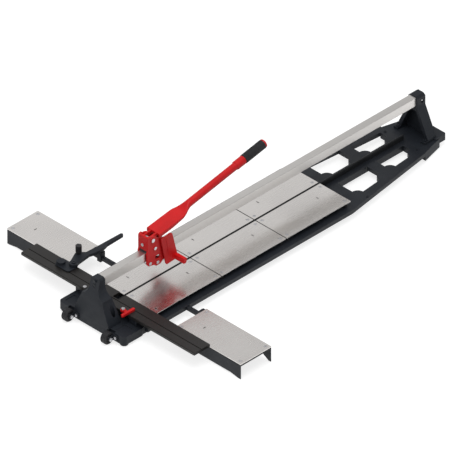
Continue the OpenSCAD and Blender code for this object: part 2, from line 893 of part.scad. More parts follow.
module stop_knob() {
    z0 = stop_z + stop_base_h + 11 + 2 * run_gap;
    color(black) placed() translate([knob_x, knob_y, z0]) difference() {
        union() {
            cylinder(r = 7, h = 8);
            translate([0, 0, 7]) cylinder(r = 10.5, h = 24);
            translate([0, 0, -10]) cylinder(r = 3, h = 11);
        }
        for (a = [0 : 60 : 300]) {
            rotate(a) translate([12.5, 0, 8]) cylinder(r = 3, h = 30, $fn = 24);
        }
    }
}

// ---------------------------------------------------------------- carriage

nose_front = 83;
nose_rear = 92;
front_bolt_z = bed_top + 160;

function cheek_outline() = [[80, bed_top + 90], [88, bed_top + 80], [112, bed_top + 75],
    [122, bed_top + 66], [143, bed_top + 66],
    [152, bed_top + 76], [194, bed_top + 80], [194, bed_top + 124], [152, bed_top + 128],
    [154, bed_top + 150], [150, bed_top + 166], [132, bed_top + 172], [120, bed_top + 186],
    [108, bed_top + 190], [100, bed_top + 190], [96, bed_top + 196], [88, bed_top + 196],
    [nose_front, bed_top + 190], [nose_front, bed_top + 138], [80, bed_top + 130]];

module carriage_body() {
    color(red) placed() difference() {
        union() {
            for (s = [-1, 1]) {
                mirror([s < 0 ? 1 : 0, 0, 0]) side_plate(cheek_outline(), cheek_in, cheek_out);
            }
            block([-cheek_in - 1, nose_front, rail_top + 7],
                [cheek_in + 1, nose_rear, bed_top + 195]);
            // raised boss that stiffens each cheek round the top roller and the pivot
            for (s = [-1, 1]) {
                x_rod([s * cheek_out, pivot_y, pivot_z], 10, 3);
                x_rod([s * cheek_out, top_roller_y, top_roller_z], 9, 3);
            }
            // leaning keys that the breaker's side plates slide on
            for (s = [0, 1]) {
                mirror([s, 0, 0])
                    side_plate(leaning(key_half, key_low, key_high), cheek_out - 1, breaker_in + 2.7);
            }
        }
        x_rod([0, pivot_y, pivot_z], pivot_r, 60);
        x_rod([0, top_roller_y, top_roller_z], axle_r, 60);
        x_rod([0, arm_pivot_y, arm_pivot_z], axle_r, 60);
        for (y = low_roller_ys) {
            x_rod([0, y, low_roller_z], axle_r, 60);
        }
        // adjusting window through both cheeks
        block([-40, 119, bed_top + 92], [40, 139, bed_top + 107]);
        // hole for the bolt in the front face
        y_rod([0, nose_front - 1, front_bolt_z], 3, 8);
    }
}

// Axle bolts of the rollers and of the scoring arm, with nuts on the outside.
module carriage_bolts() {
    color(zinc) placed() {
        for (at = [[top_roller_y, top_roller_z, 1.5], [arm_pivot_y, arm_pivot_z, 0],
            [low_roller_ys[0], low_roller_z, 0], [low_roller_ys[1], low_roller_z, 0]]) {
            x_rod([0, at[0], at[1]], axle_r, 2 * cheek_out + 2 * at[2] + 0.2);
            for (s = [-1, 1]) {
                x_rod([s * (cheek_out + at[2] + 1.2), at[0], at[1]], 6, 2.4);
            }
        }
    }
}

module carriage_pivot_pin() {
    l = 2 * cheek_out + 3.2;
    color(zinc) placed() {
        x_rod([0, pivot_y, pivot_z], pivot_r, l);
        for (s = [-1, 1]) {
            x_rod([s * (cheek_out + 1.5 + 1.2), pivot_y, pivot_z], 7, 2.4);
        }
    }
}

// Bolt in the carriage's front face.
module carriage_front_bolt() {
    color(zinc) placed() {
        y_rod([0, nose_front - 3.5, front_bolt_z], 5.5, 3.5);
        y_rod([0, nose_front - 0.5, front_bolt_z], 3, 7);
    }
}

// Nylon pad under the carriage's front block, just clear of the rail.
module slide_pad() {
    color(black) placed() block([-14, nose_front + 1, rail_top + run_gap],
        [14, nose_rear, rail_top + 7]);
}

// A plain roller that turns on its axle bolt between the cheeks.
module roller(y, z, r) {
    w = cheek_in - run_gap;
    color(zinc) placed() translate([0, y, z]) rotate([0, 90, 0]) difference() {
        translate([0, 0, -w]) cylinder(r = r, h = 2 * w);
        translate([0, 0, -w - 1]) cylinder(r = axle_r + pin_gap, h = 2 * w + 2);
    }
}

module top_roller() { roller(top_roller_y, top_roller_z, top_roller_r); }
module lower_roller_front() { roller(low_roller_ys[0], low_roller_z, low_roller_r); }
module lower_roller_rear() { roller(low_roller_ys[1], low_roller_z, low_roller_r); }

wheel_at = [arm_pivot_y + wheel_arm_l * cos(wheel_arm_tilt),
    arm_pivot_z + wheel_arm_l * sin(wheel_arm_tilt)];

// Forked arm that carries the scoring wheel.
module scoring_arm() {
    color(zinc) placed() translate([0, arm_pivot_y, arm_pivot_z]) rotate([wheel_arm_tilt, 0, 0])
        difference() {
            union() {
                x_rod([0, 0, 0], 8, 2 * cheek_in - 2 * run_gap);
                block([-8, 0, -6], [8, wheel_arm_l, 6]);
                x_rod([0, wheel_arm_l, 0], 6, 16);
                x_rod([0, wheel_arm_l, 0], 3, 21);
            }
            x_rod([0, 0, 0], axle_r + pin_gap, 40);
            difference() {
                x_rod([0, wheel_arm_l, 0], cutter_d / 2 + 3, 4);
                x_rod([0, wheel_arm_l, 0], 2, 8);
            }
        }
}

module scoring_wheel() {
    bevel = 1.4;
    r = cutter_d / 2;
    color(zinc) placed() translate([0, wheel_at[0], wheel_at[1]]) rotate([0, 90, 0])
        rotate_extrude() polygon([[2 + pin_gap, -bevel], [r - 2.4, -bevel], [r, 0],
            [r - 2.4, bevel], [2 + pin_gap, bevel]]);
}

// ---------------------------------------------------------------- breaker

breaker_in = cheek_out + 3;
breaker_out = breaker_in + 6;
breaker_lean = 12;
lean_y = 196;
key_half = 7;
key_low = 100;
key_high = 118;
wing_reach = 74;

// A bar that leans back by the breaker's lean, between two heights above the bed.
function leaning(half, z0, z1) = let (run = tan(breaker_lean))
    [[lean_y - half - z0 * run, bed_top + z0], [lean_y + half - z0 * run, bed_top + z0],
    [lean_y + half - z1 * run, bed_top + z1], [lean_y - half - z1 * run, bed_top + z1]];

function breaker_outline() = [[136, bed_top + 168], [140, bed_top + 172], [182, bed_top + 173],
    [188, bed_top + 168], [212, bed_top + 72], [208, bed_top + 60], [162, bed_top + 56],
    [157, bed_top + 62]];

function wing_outline() = [[197, bed_top + 60], [209, bed_top + 61], [214, bed_top + 74],
    [208, bed_top + 83], [197, bed_top + 81]];

// A leaning side plate: keyway inside, raised rib outside, notched for the pressing bar.
module breaker_side(side) {
    color(red) placed() mirrored(side) difference() {
        union() {
            side_plate(breaker_outline(), breaker_in, breaker_out);
            side_plate(leaning(key_half - 2, 62, 166), breaker_out - 1, breaker_out + 1.5);
        }
        side_plate(leaning(key_half + run_gap, key_low - run_gap, 168),
            breaker_in - 1, breaker_in + 3);
        side_plate(wing_outline(), breaker_in - 1, breaker_out + 3);
    }
}

module breaker_left() { breaker_side(-1); }
module breaker_right() { breaker_side(1); }

// Pressing bar that joins the two side plates under the rail and ends in two wings.
module breaker_bar() {
    color(red) placed() side_plate(wing_outline(), -wing_reach, wing_reach);
}

// ---------------------------------------------------------------- handle

// Calls its children in a frame whose +X runs up the handle's tube.
module along_tube(distance) {
    translate([0, tube_start[0], tube_start[1]]) rotate([tube_tilt, 0, 0])
        rotate([0, 0, 90]) translate([distance, 0, 0]) children();
}

// A cylinder along the tube's axis from one distance to another.
module tube_run(d0, d1, r) {
    along_tube(d0) rotate([0, 90, 0]) cylinder(r = r, h = d1 - d0);
}

shoulder_half = 30;
shoulder_front = [131, bed_top + 191];
shoulder_rear = [254, bed_top + 210];
shoulder_t = 6.5;
flank_h = 15;
flank_knee = [190, bed_top + 185.5];
flank_end_h = 8;
flank_in = cheek_out + 3;
neck_in = 9;
neck_out = cheek_in - 0.6;

// A thin upright slice across the shoulder, under a point of its top edge.
module shoulder_slice(top, h) {
    block([-shoulder_half, top[0] - 0.5, top[1] - h], [shoulder_half, top[0] + 0.5, top[1]]);
}

// One flank of the shoulder, outside the carriage's cheek.
module handle_flank() {
    side_plate([shoulder_front - [0, flank_h], flank_knee, shoulder_rear - [0, flank_end_h],
        shoulder_rear, shoulder_front], flank_in, shoulder_half);
}

// One fork arm of the handle, just inside the carriage's cheek.
module handle_neck() {
    side_plate([[pivot_y - 10, pivot_z - 3], [pivot_y - 5, pivot_z - 9],
        [pivot_y + 5, pivot_z - 9], [pivot_y + 11, pivot_z - 3],
        [shoulder_front[0] + 40, shoulder_front[1] + 2],
        [shoulder_front[0], shoulder_front[1] - 1], [pivot_y - 8, pivot_z + 9]],
        neck_in, neck_out);
}

module handle() {
    collar_end = tube_len - grip_len - cap_len;
    color(red) placed() difference() {
        union() {
            hull() {
                shoulder_slice(shoulder_front, shoulder_t);
                shoulder_slice(shoulder_rear, shoulder_t);
            }
            hull() {
                shoulder_slice(shoulder_rear, flank_end_h);
                tube_run(-2, 4, tube_d / 2 - 0.5);
            }
            for (s = [0, 1]) {
                mirror([s, 0, 0]) {
                    handle_neck();
                    handle_flank();
                }
            }
            tube_run(0, collar_end, tube_d / 2);
            tube_run(collar_end - collar_len, collar_end, grip_d / 2 - 1);
            tube_run(collar_end - 1, tube_len - cap_len, tube_d / 2 - 3);
        }
        x_rod([0, pivot_y, pivot_z], pivot_r + pin_gap, 40);
        along_tube(eyelet_at) rotate([90, 0, 0]) cylinder(r = 3, h = 60, center = true);
    }
}

module handle_grip() {
    color(rubber_grey) placed() difference() {
        tube_run(tube_len - grip_len - cap_len, tube_len - cap_len, grip_d / 2);
        tube_run(tube_len - grip_len - cap_len - 3, tube_len - cap_len + 1, tube_d / 2 - 3);
    }
}

module handle_cap() {
    color(red) placed() tube_run(tube_len - cap_len, tube_len, grip_d / 2 - 0.5);
}

deck_tray();
spine_beam();
breaking_bar();
front_casting();
front_tower();
rear_casting();
rear_tower();
guide_rail();
rubber_feet();
frame_bolts();
rail_bolts();
bed_plate_front_left();
bed_plate_front_right();
bed_plate_middle_left();
bed_plate_middle_right();
bed_plate_rear_left();
bed_plate_rear_right();
plate_cushions();
plate_screws();
fence();
fence_blocks();
fence_screw();
fence_lock_lever();
fence_lock_screw();
wheel_brackets();
wheel_axles();
transport_wheel_left();
transport_wheel_right();
left_arm_frame();
left_arm_plate();
left_arm_rods();
left_arm_clamp();
left_arm_cushions();
left_arm_screws();
right_arm_frame();
right_arm_plate();
right_arm_rods();
right_arm_clamp();
right_arm_cushions();
right_arm_screws();
stop_base();
stop_arm();
stop_pivot_screw();
stop_knob();
carriage_body();
carriage_bolts();
carriage_pivot_pin();
carriage_front_bolt();
slide_pad();
top_roller();
lower_roller_front();
lower_roller_rear();
scoring_arm();
scoring_wheel();
breaker_left();
breaker_right();
breaker_bar();
handle();
handle_grip();
handle_cap();
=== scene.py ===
"""Looks of a manual tile cutter: materials, detailed pieces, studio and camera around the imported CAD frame."""

import json
import math

import bmesh
import bpy
from mathutils import Matrix, Vector


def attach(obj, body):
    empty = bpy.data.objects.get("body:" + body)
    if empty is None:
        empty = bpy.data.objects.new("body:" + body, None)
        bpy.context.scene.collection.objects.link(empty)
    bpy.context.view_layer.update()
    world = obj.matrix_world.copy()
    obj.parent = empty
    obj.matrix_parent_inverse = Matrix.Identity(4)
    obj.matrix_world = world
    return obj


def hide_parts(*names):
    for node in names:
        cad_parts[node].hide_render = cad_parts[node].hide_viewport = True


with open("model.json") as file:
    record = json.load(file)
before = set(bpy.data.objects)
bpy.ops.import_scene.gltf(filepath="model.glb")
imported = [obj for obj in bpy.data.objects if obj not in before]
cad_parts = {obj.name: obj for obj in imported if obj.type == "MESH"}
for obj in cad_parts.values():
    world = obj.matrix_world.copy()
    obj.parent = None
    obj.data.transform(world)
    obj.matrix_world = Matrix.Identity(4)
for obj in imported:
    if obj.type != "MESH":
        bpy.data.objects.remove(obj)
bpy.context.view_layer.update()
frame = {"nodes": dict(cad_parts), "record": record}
NODES = frame["nodes"]
MM = 0.001  # one millimetre in metres

# ---------------------------------------------------------------- node helpers


class Shader:
    """A material's node tree, with short calls for the nodes that this scene uses."""

    def __init__(self, name):
        self.material = bpy.data.materials.new(name)
        self.material.use_nodes = True
        self.tree = self.material.node_tree
        self.tree.nodes.clear()
        self.out = self.add("ShaderNodeOutputMaterial")
        self.bsdf = self.add("ShaderNodeBsdfPrincipled")
        self.link(self.bsdf.outputs[0], self.out.inputs[0])
        self.coords = self.add("ShaderNodeTexCoord").outputs["Object"]

    def add(self, kind, **values):
        """Adds a node and sets its properties."""
        node = self.tree.nodes.new(kind)
        for key, value in values.items():
            setattr(node, key, value)
        return node

    def link(self, a, b):
        self.tree.links.new(a, b)

    def set(self, **values):
        """Sets uniform values on the Principled shader's own sockets."""
        for key, value in values.items():
            self.bsdf.inputs[key.replace("_", " ")].default_value = value

    def noise(self, scale, detail=4.0, rough=0.55, stretch=(1, 1, 1)):
        """Noise over the object's own coordinates, in features per metre."""
        mapping = self.add("ShaderNodeMapping")
        mapping.inputs["Scale"].default_value = stretch
        self.link(self.coords, mapping.inputs["Vector"])
        tex = self.add("ShaderNodeTexNoise")
        tex.inputs["Scale"].default_value = scale
        tex.inputs["Detail"].default_value = detail
        tex.inputs["Roughness"].default_value = rough
        self.link(mapping.outputs[0], tex.inputs["Vector"])
        return tex.outputs[0]

    def span(self, value, low, high, to_low, to_high):
        """Maps a value from one span to another, clamped."""
        node = self.add("ShaderNodeMapRange")
        self.link(value, node.inputs[0])
        for i, number in enumerate((low, high, to_low, to_high)):
            node.inputs[i + 1].default_value = number
        return node.outputs[0]

    def math(self, operation, a, b):
        """A Math node on two values, each a socket or a number."""
        node = self.add("ShaderNodeMath", operation=operation)
        for socket, value in zip(node.inputs, (a, b)):
            if isinstance(value, (int, float)):
                socket.default_value = value
            else:
                self.link(value, socket)
        return node.outputs[0]

    def mix(self, factor, a, b):
        """Mixes two colours, each a socket or a tuple."""
        node = self.add("ShaderNodeMix", data_type="RGBA")
        self.link(factor, node.inputs["Factor"])
        for socket, value in zip((node.inputs[6], node.inputs[7]), (a, b)):
            if isinstance(value, tuple):
                socket.default_value = (*value, 1.0)
            else:
                self.link(value, socket)
        return node.outputs[2]

    def colour(self, socket):
        self.link(socket, self.bsdf.inputs["Base Color"])

    def roughness(self, socket):
        self.link(socket, self.bsdf.inputs["Roughness"])

    def bump(self, height, strength, distance):
        node = self.add("ShaderNodeBump")
        node.inputs["Strength"].default_value = strength
        node.inputs["Distance"].default_value = distance
        self.link(height, node.inputs["Height"])
        self.link(node.outputs[0], self.bsdf.inputs["Normal"])

    def edges(self, radius):
        """1 on sharp edges and 0 on flats, from how far a bevelled normal leans from the true one."""
        no_wear, full_wear = 0.02, 0.25
        bevel = self.add("ShaderNodeBevel", samples=4)
        bevel.inputs["Radius"].default_value = radius
        geometry = self.add("ShaderNodeNewGeometry")
        dot = self.add("ShaderNodeVectorMath", operation="DOT_PRODUCT")
        self.link(bevel.outputs[0], dot.inputs[0])
        self.link(geometry.outputs["Normal"], dot.inputs[1])
        lean = self.math("SUBTRACT", 1.0, dot.outputs["Value"])
        return self.span(lean, no_wear, full_wear, 0.0, 1.0)


# ---------------------------------------------------------------- materials


def painted(name, base, worn, roughness, grain, coat=0.0):
    """Powder coat or paint: fine orange peel, slow colour drift, dust and rubbed edges."""
    s = Shader(name)
    drift = s.span(s.noise(9), 0.3, 0.7, 0.0, 1.0)
    speck = s.span(s.noise(420, 3), 0.62, 0.75, 0.0, 0.35)
    dark = tuple(c * 0.82 for c in base)
    light = tuple(min(1.0, c * 1.12 + 0.002) for c in base)
    tone = s.mix(drift, dark, light)
    tone = s.mix(speck, tone, light)
    scuff = s.math("MULTIPLY", s.edges(0.0012), s.span(s.noise(60, 5), 0.42, 0.66, 0.0, 0.8))
    s.colour(s.mix(scuff, tone, worn))
    s.roughness(s.span(s.noise(30, 5), 0.3, 0.7, roughness - 0.07, roughness + 0.08))
    s.bump(s.noise(grain, 2), 0.25, 0.00025)
    s.set(Metallic=0.0, Coat_Weight=coat, Coat_Roughness=0.12, Specular_IOR_Level=0.24)
    return s.material


def brushed(name, base, roughness, stretch, streak, metallic=1.0):
    """Bare metal with brush lines: stretch is large across the lines and small along them."""
    s = Shader(name)
    lines = s.noise(1.0, 3, 0.7, stretch)
    cloud = s.noise(7, 4)
    marks = s.span(s.noise(60, 6, 0.7), 0.6, 0.72, 0.0, 0.35)
    dark = tuple(c * (1 - 0.16 * streak) for c in base)
    light = tuple(min(1.0, c * (1 + 0.1 * streak)) for c in base)
    tone = s.mix(s.span(lines, 0.3, 0.7, 0.0, 1.0), dark, light)
    tone = s.mix(s.span(cloud, 0.35, 0.75, 0.0, 0.3), tone, dark)
    s.colour(s.mix(marks, tone, light))
    rub = s.math("ADD", s.span(lines, 0.3, 0.7, -0.05, 0.05), s.span(cloud, 0.3, 0.7, -0.04, 0.05))
    s.roughness(s.math("ADD", rub, roughness))
    s.bump(lines, 0.18, 0.0001)
    s.set(Metallic=metallic)
    return s.material


def zinc_plate(name, base, roughness):
    """Zinc plating: cloudy, with tiny pits and lighter sharp edges."""
    s = Shader(name)
    cloud = s.span(s.noise(160, 5), 0.3, 0.7, 0.0, 1.0)
    tone = s.mix(cloud, tuple(c * 0.8 for c in base), base)
    s.colour(s.mix(s.edges(0.0008), tone, tuple(min(1, c * 1.15) for c in base)))
    s.roughness(s.span(s.noise(300, 4), 0.3, 0.7, roughness - 0.08, roughness + 0.1))
    s.bump(s.noise(900, 3), 0.2, 0.0001)
    s.set(Metallic=1.0)
    return s.material


def rubber(name, base, roughness, grain):
    """Moulded rubber or soft plastic: matte, finely pebbled and a little dusty."""
    s = Shader(name)
    dust = s.span(s.noise(25, 6), 0.5, 0.8, 0.0, 0.4)
    s.colour(s.mix(dust, base, tuple(c + 0.02 for c in base)))
    s.roughness(s.span(s.noise(80, 5), 0.3, 0.7, roughness - 0.06, roughness + 0.08))
    s.bump(s.noise(grain, 2), 0.4, 0.0002)
    s.set(Metallic=0.0, Specular_IOR_Level=0.4)
    return s.material


BLACK = (0.017, 0.02, 0.026)
RED = (0.68, 0.008, 0.01)
# base colours are linear, and grain is in features per metre
FINISH = {
    "black_steel": painted("black_steel", BLACK, (0.1, 0.1, 0.105), 0.42, 1400),
    "black_casting": painted("black_casting", (0.016, 0.0195, 0.026), (0.08, 0.08, 0.085), 0.5, 700),
    "bar_steel": painted("bar_steel", (0.014, 0.015, 0.017), (0.12, 0.12, 0.125), 0.46, 900),
    "rail_aluminium": brushed("rail_aluminium", (0.68, 0.66, 0.64), 0.36, (1500, 6, 1500), 0.45),
    "plate_aluminium": brushed("plate_aluminium", (0.73, 0.705, 0.685), 0.25, (1300, 16, 1300), 0.5),
    "fence_anodised": brushed("fence_anodised", (0.022, 0.02, 0.019), 0.42, (10, 1200, 1200), 0.6, 0.3),
    "rubber": rubber("rubber", (0.018, 0.018, 0.02), 0.72, 900),
    "tyre_rubber": rubber("tyre_rubber", (0.02, 0.02, 0.023), 0.6, 1100),
    "zinc": zinc_plate("zinc", (0.7, 0.7, 0.72), 0.32),
    "carbide": zinc_plate("carbide", (0.4, 0.4, 0.42), 0.24),
    "red_paint": painted("red_paint", RED, (0.72, 0.1, 0.08), 0.4, 1000, 0.05),
    "red_plastic": painted("red_plastic", (0.6, 0.014, 0.016), (0.7, 0.08, 0.07), 0.3, 600, 0.2),
    "grip_rubber": rubber("grip_rubber", (0.014, 0.014, 0.016), 0.66, 1500),
    "black_plastic": rubber("black_plastic", (0.02, 0.02, 0.023), 0.45, 1300),
}
SLOT_OF = {row["node"]: row["material_slot"] for row in frame["record"]["subparts"]}

# width of the rounded edges of each material's parts, in metres
EDGE_OF = {
    "black_casting": 0.0022, "red_paint": 0.0012, "red_plastic": 0.001, "black_plastic": 0.0009,
    "zinc": 0.0005, "carbide": 0.0001, "black_steel": 0.0006, "plate_aluminium": 0.0003,
    "fence_anodised": 0.0005, "rail_aluminium": 0.0007, "bar_steel": 0.0003,
    "rubber": 0.0006, "tyre_rubber": 0.0015, "grip_rubber": 0.001,
}
MERGE_DISTANCE = 1e-5
FLAT_DEGREES = 0.5
SHARP_DEGREES = 32.0


def round_edges(obj, width):
    """Merges the mesh's flat triangles and rounds every sharp edge, by modifiers alone."""
    weld = obj.modifiers.new("weld", "WELD")
    weld.merge_threshold = MERGE_DISTANCE
    flat = obj.modifiers.new("flat", "DECIMATE")
    flat.decimate_type = "DISSOLVE"
    flat.angle_limit = math.radians(FLAT_DEGREES)
    bevel = obj.modifiers.new("bevel", "BEVEL")
    bevel.width = width
    bevel.segments = 2
    bevel.limit_method = "ANGLE"
    bevel.angle_limit = math.radians(SHARP_DEGREES)
    bevel.harden_normals = True
    obj.modifiers.new("normals", "WEIGHTED_NORMAL")


def finish_nodes():
    """Gives every carried-over CAD node its procedural material and small rounded edges."""
    for name, node in NODES.items():
        node.data.materials.clear()
        node.data.materials.append(FINISH[SLOT_OF[name]])
        round_edges(node, EDGE_OF[SLOT_OF[name]])


finish_nodes()

# ---------------------------------------------------------------- detailed pieces

# Sizes of pieces are in mm: x from the scoring line, y from the plates' front edge, z from the plates' top.
PLATES_FRONT = 608.5
BED_TOP = 60.0
LATHE_SIDES = 64
DISC_SIDES = 32
CORNER_STEPS = 5
CORNER_REACH = 0.48  # the most of a side that one rounded corner may take


def at(x, y, z):
    """A point from the scoring line, the plates' front edge and the plates' top, in mm, to the frame."""
    return Vector((x, y - PLATES_FRONT, z + BED_TOP)) * MM


def ramp(u):
    """Smooth step from 0 to 1."""
    return u * u * (3 - 2 * u)


def lerp(a, b, u):
    """The value at u between a and b."""
    return a + (b - a) * u


def new_piece(name, bm, slot, body, replaced=(), edge=None):
    """Turns a bmesh into an object that rides on a body and has its finish and rounded edges."""
    bmesh.ops.recalc_face_normals(bm, faces=bm.faces)
    mesh = bpy.data.meshes.new(name)
    bm.to_mesh(mesh)
    bm.free()
    for polygon in mesh.polygons:
        polygon.use_smooth = True
    obj = bpy.data.objects.new(name, mesh)
    bpy.context.scene.collection.objects.link(obj)
    mesh.materials.append(FINISH[slot])
    if edge:
        round_edges(obj, edge)
    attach(obj, body)
    if replaced:
        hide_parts(*replaced)


def add_loft(bm, rings, closed=False):
    """Skins a list of rings of points, capping both ends unless the loft is closed on itself."""
    loops = [[bm.verts.new(point) for point in ring] for ring in rings]
    count = len(loops[0])
    pairs = list(zip(loops, loops[1:]))
    if closed:
        pairs.append((loops[-1], loops[0]))
    for a, b in pairs:
        for i in range(count):
            j = (i + 1) % count
            bm.faces.new((a[i], a[j], b[j], b[i]))
    if not closed:
        bm.faces.new(list(reversed(loops[0])))
        bm.faces.new(loops[-1])


def lathe_rings(profile, start, axis):
    """Rings round an axis for a profile of (distance, radius) pairs."""
    axis = axis.normalized()
    across = axis.orthogonal().normalized()
    other = axis.cross(across)
    turn = [2 * math.pi * i / LATHE_SIDES for i in range(LATHE_SIDES)]
    rings = []
    for distance, radius in profile:
        rings.append([start + axis * distance * MM
                      + (across * math.cos(a) + other * math.sin(a)) * radius * MM for a in turn])
    return rings


def rounded(points, radius):
    """A polygon whose corners are rounded, as far as its sides allow."""
    result = []
    count = len(points)
    for i in range(count):
        corner = Vector(points[i])
        before = Vector(points[i - 1]) - corner
        after = Vector(points[(i + 1) % count]) - corner
        half = before.angle(after) / 2
        reach = min(radius / math.tan(half), before.length * CORNER_REACH, after.length * CORNER_REACH)
        a = corner + before.normalized() * reach
        b = corner + after.normalized() * reach
        for k in range(CORNER_STEPS + 1):
            u = k / CORNER_STEPS
            result.append((1 - u) ** 2 * a + 2 * u * (1 - u) * corner + u * u * b)
    return result


def disc(y, z, radius):
    """A round outline in the Y-Z plane."""
    return [Vector((y + radius * math.cos(2 * math.pi * i / DISC_SIDES),
                    z + radius * math.sin(2 * math.pi * i / DISC_SIDES))) for i in range(DISC_SIDES)]


def add_plate(bm, outline, holes, x0, x1, round_by):
    """A plate from an outline in the Y-Z plane, with holes and rolled edges, between two X values."""
    curve = bpy.data.curves.new("outline", "CURVE")
    curve.dimensions = "2D"
    curve.fill_mode = "BOTH"
    curve.extrude = ((x1 - x0) / 2 - round_by) * MM
    curve.bevel_depth = round_by * MM
    curve.bevel_resolution = 2
    curve.offset = -round_by * MM
    for loop in [outline, *holes]:
        spline = curve.splines.new("POLY")
        spline.points.add(len(loop) - 1)
        spline.use_cyclic_u = True
        for point, where in zip(spline.points, loop):
            point.co = (where[0] * MM, where[1] * MM, 0, 1)
    obj = bpy.data.objects.new("outline", curve)
    bpy.context.scene.collection.objects.link(obj)
    graph = bpy.context.evaluated_depsgraph_get()
    mesh = bpy.data.meshes.new_from_object(obj.evaluated_get(graph))
    # local X runs along +Y, local Y along +Z and the plate's thickness along +X
    turn = Matrix(((0, 0, 1, (x0 + x1) / 2 * MM), (1, 0, 0, -PLATES_FRONT * MM),
                   (0, 1, 0, BED_TOP * MM), (0, 0, 0, 1)))
    mesh.transform(turn)
    bm.from_mesh(mesh)
    bpy.data.objects.remove(obj)
    bpy.data.curves.remove(curve)
    bpy.data.meshes.remove(mesh)


TUBE_START = (292.0, 219.0)
TUBE_END = (642.0, 287.0)
TUBE_TILT = math.atan2(TUBE_END[1] - TUBE_START[1], TUBE_END[0] - TUBE_START[0])
TUBE_LENGTH = math.dist(TUBE_START, TUBE_END)
TUBE_AXIS = Vector((0, math.cos(TUBE_TILT), math.sin(TUBE_TILT)))
TUBE_ORIGIN = at(0, *TUBE_START)
TUBE_R, COLLAR_R, GRIP_R = 13.0, 15.5, 16.5
CAP_LENGTH, GRIP_LENGTH, COLLAR_LENGTH = 8.0, 90.0, 40.0
COLLAR_END = TUBE_LENGTH - GRIP_LENGTH - CAP_LENGTH
GRIP_END = TUBE_LENGTH - CAP_LENGTH
PIVOT = (106.0, 176.0)
PIVOT_R = 5
SHOULDER_HALF = 30
SHOULDER_CORNER = 3
# the channel: its stations along y, its top and height at both ends, and the hollow inside
CHANNEL_STATIONS = (131, 150, 170, 190, 210, 236, 243, 248, 250)
CHANNEL_FRONT, CHANNEL_TAPER, CHANNEL_BACK = 131, 190, 254
CHANNEL_TOPS, CHANNEL_HEIGHTS = (191, 210), (15, 8)
HOLLOW_HALF, HOLLOW_ROOF, HOLLOW_END, HOLLOW_RUN_OUT, HOLLOW_LEAST = 25.5, 6.4, 250, 10, 0.4
# the transition from the channel to the tube
NARROWS_AT, NARROWS_OVER = 236, 60
ROLL_STEPS = 12
ROLL_Z = 206
THIN = 0.02  # keeps a corner radius just below the half size it rounds
GRIP_GROOVE_PITCH, GRIP_GROOVE_DEPTH, GRIP_PLAIN_END = 4.2, 0.75, 5.0
NECK = [(96, 173), (101, 167), (111, 167), (117, 173), (171, 190.5), (131, 189.5), (98, 185)]
NECK_IN, NECK_OUT = 9, 15.9


def handle_section(centre, tilt, half_w, half_h, corner, cavity=0.0, cavity_half=0.01):
    """A rounded section across the handle, hollow from below where cavity is above 0."""
    flat = [(-cavity_half, -half_h), (-cavity_half, cavity - half_h),
            (cavity_half, cavity - half_h), (cavity_half, -half_h)]
    for sx, sz, first_degrees in ((1, -1, -90), (1, 1, 0), (-1, 1, 90), (-1, -1, 180)):
        for degrees in range(first_degrees, first_degrees + 91, 10):
            a = math.radians(degrees)
            flat.append((sx * (half_w - corner) + corner * math.cos(a),
                         sz * (half_h - corner) + corner * math.sin(a)))
    y, z = centre
    return [at(x, y - h * math.sin(tilt), z + h * math.cos(tilt)) for x, h in flat]


def shoulder_sections():
    """The pressed shoulder: a channel that gets shallower, closes, then narrows and rolls into the tube."""
    rings = []
    for y in CHANNEL_STATIONS:
        top = lerp(*CHANNEL_TOPS, (y - CHANNEL_FRONT) / (CHANNEL_BACK - CHANNEL_FRONT))
        height = lerp(*CHANNEL_HEIGHTS, max(0, y - CHANNEL_TAPER) / (CHANNEL_BACK - CHANNEL_TAPER))
        cavity = max(HOLLOW_LEAST, (height - HOLLOW_ROOF) * min(1, (HOLLOW_END - y) / HOLLOW_RUN_OUT))
        rings.append(handle_section((y, top - height / 2), 0, shoulder_half(y), height / 2, SHOULDER_CORNER,
                                    cavity, HOLLOW_HALF))
    for k in range(ROLL_STEPS + 1):
        u = k / ROLL_STEPS
        s = ramp(u)
        y = lerp(CHANNEL_BACK, TUBE_START[0] + 5, u)
        z = lerp(ROLL_Z, TUBE_START[1] + 1, (s + u) / 2)
        half_h = lerp(CHANNEL_HEIGHTS[1] / 2, TUBE_R, s)
        rings.append(handle_section((y, z), TUBE_TILT * s, shoulder_half(y), half_h,
                                    min(half_h - THIN, lerp(SHOULDER_CORNER, TUBE_R, s))))
    return rings


def shoulder_half(y):
    """Half width of the shoulder, which eases from its full width to the tube's radius."""
    return lerp(SHOULDER_HALF, TUBE_R, ramp(min(1, max(0, (y - NARROWS_AT) / NARROWS_OVER))))


def tube_sections():
    """The straight tube and the collar that holds the grip."""
    start = COLLAR_END - COLLAR_LENGTH
    profile = [(14, TUBE_R), (60, TUBE_R), (120, TUBE_R), (start - 0.5, TUBE_R), (start + 0.3, TUBE_R + 0.3),
               (start + 1.6, COLLAR_R - 0.6), (start + 3, COLLAR_R - 0.1), (start + 4.5, COLLAR_R),
               (COLLAR_END - 1.4, COLLAR_R), (COLLAR_END - 0.3, COLLAR_R - 0.8), (COLLAR_END, COLLAR_R - 1.6)]
    rings = []
    for distance, radius in profile:
        y = TUBE_START[0] + distance * math.cos(TUBE_TILT)
        z = TUBE_START[1] + distance * math.sin(TUBE_TILT)
        rings.append(handle_section((y, z), TUBE_TILT, radius, radius, radius - THIN))
    return rings


def build_lever():
    """The handle's pressed shoulder, tube and collar, with the two neck plates on its pivot."""
    bm = bmesh.new()
    add_loft(bm, shoulder_sections() + tube_sections())
    for x0, x1 in ((NECK_IN, NECK_OUT), (-NECK_OUT, -NECK_IN)):
        add_plate(bm, rounded(NECK, 5), [disc(*PIVOT, PIVOT_R + 0.05)], x0, x1, 1.0)
    new_piece("handle_lever", bm, "red_paint", "lever", ["handle"], 0.0011)


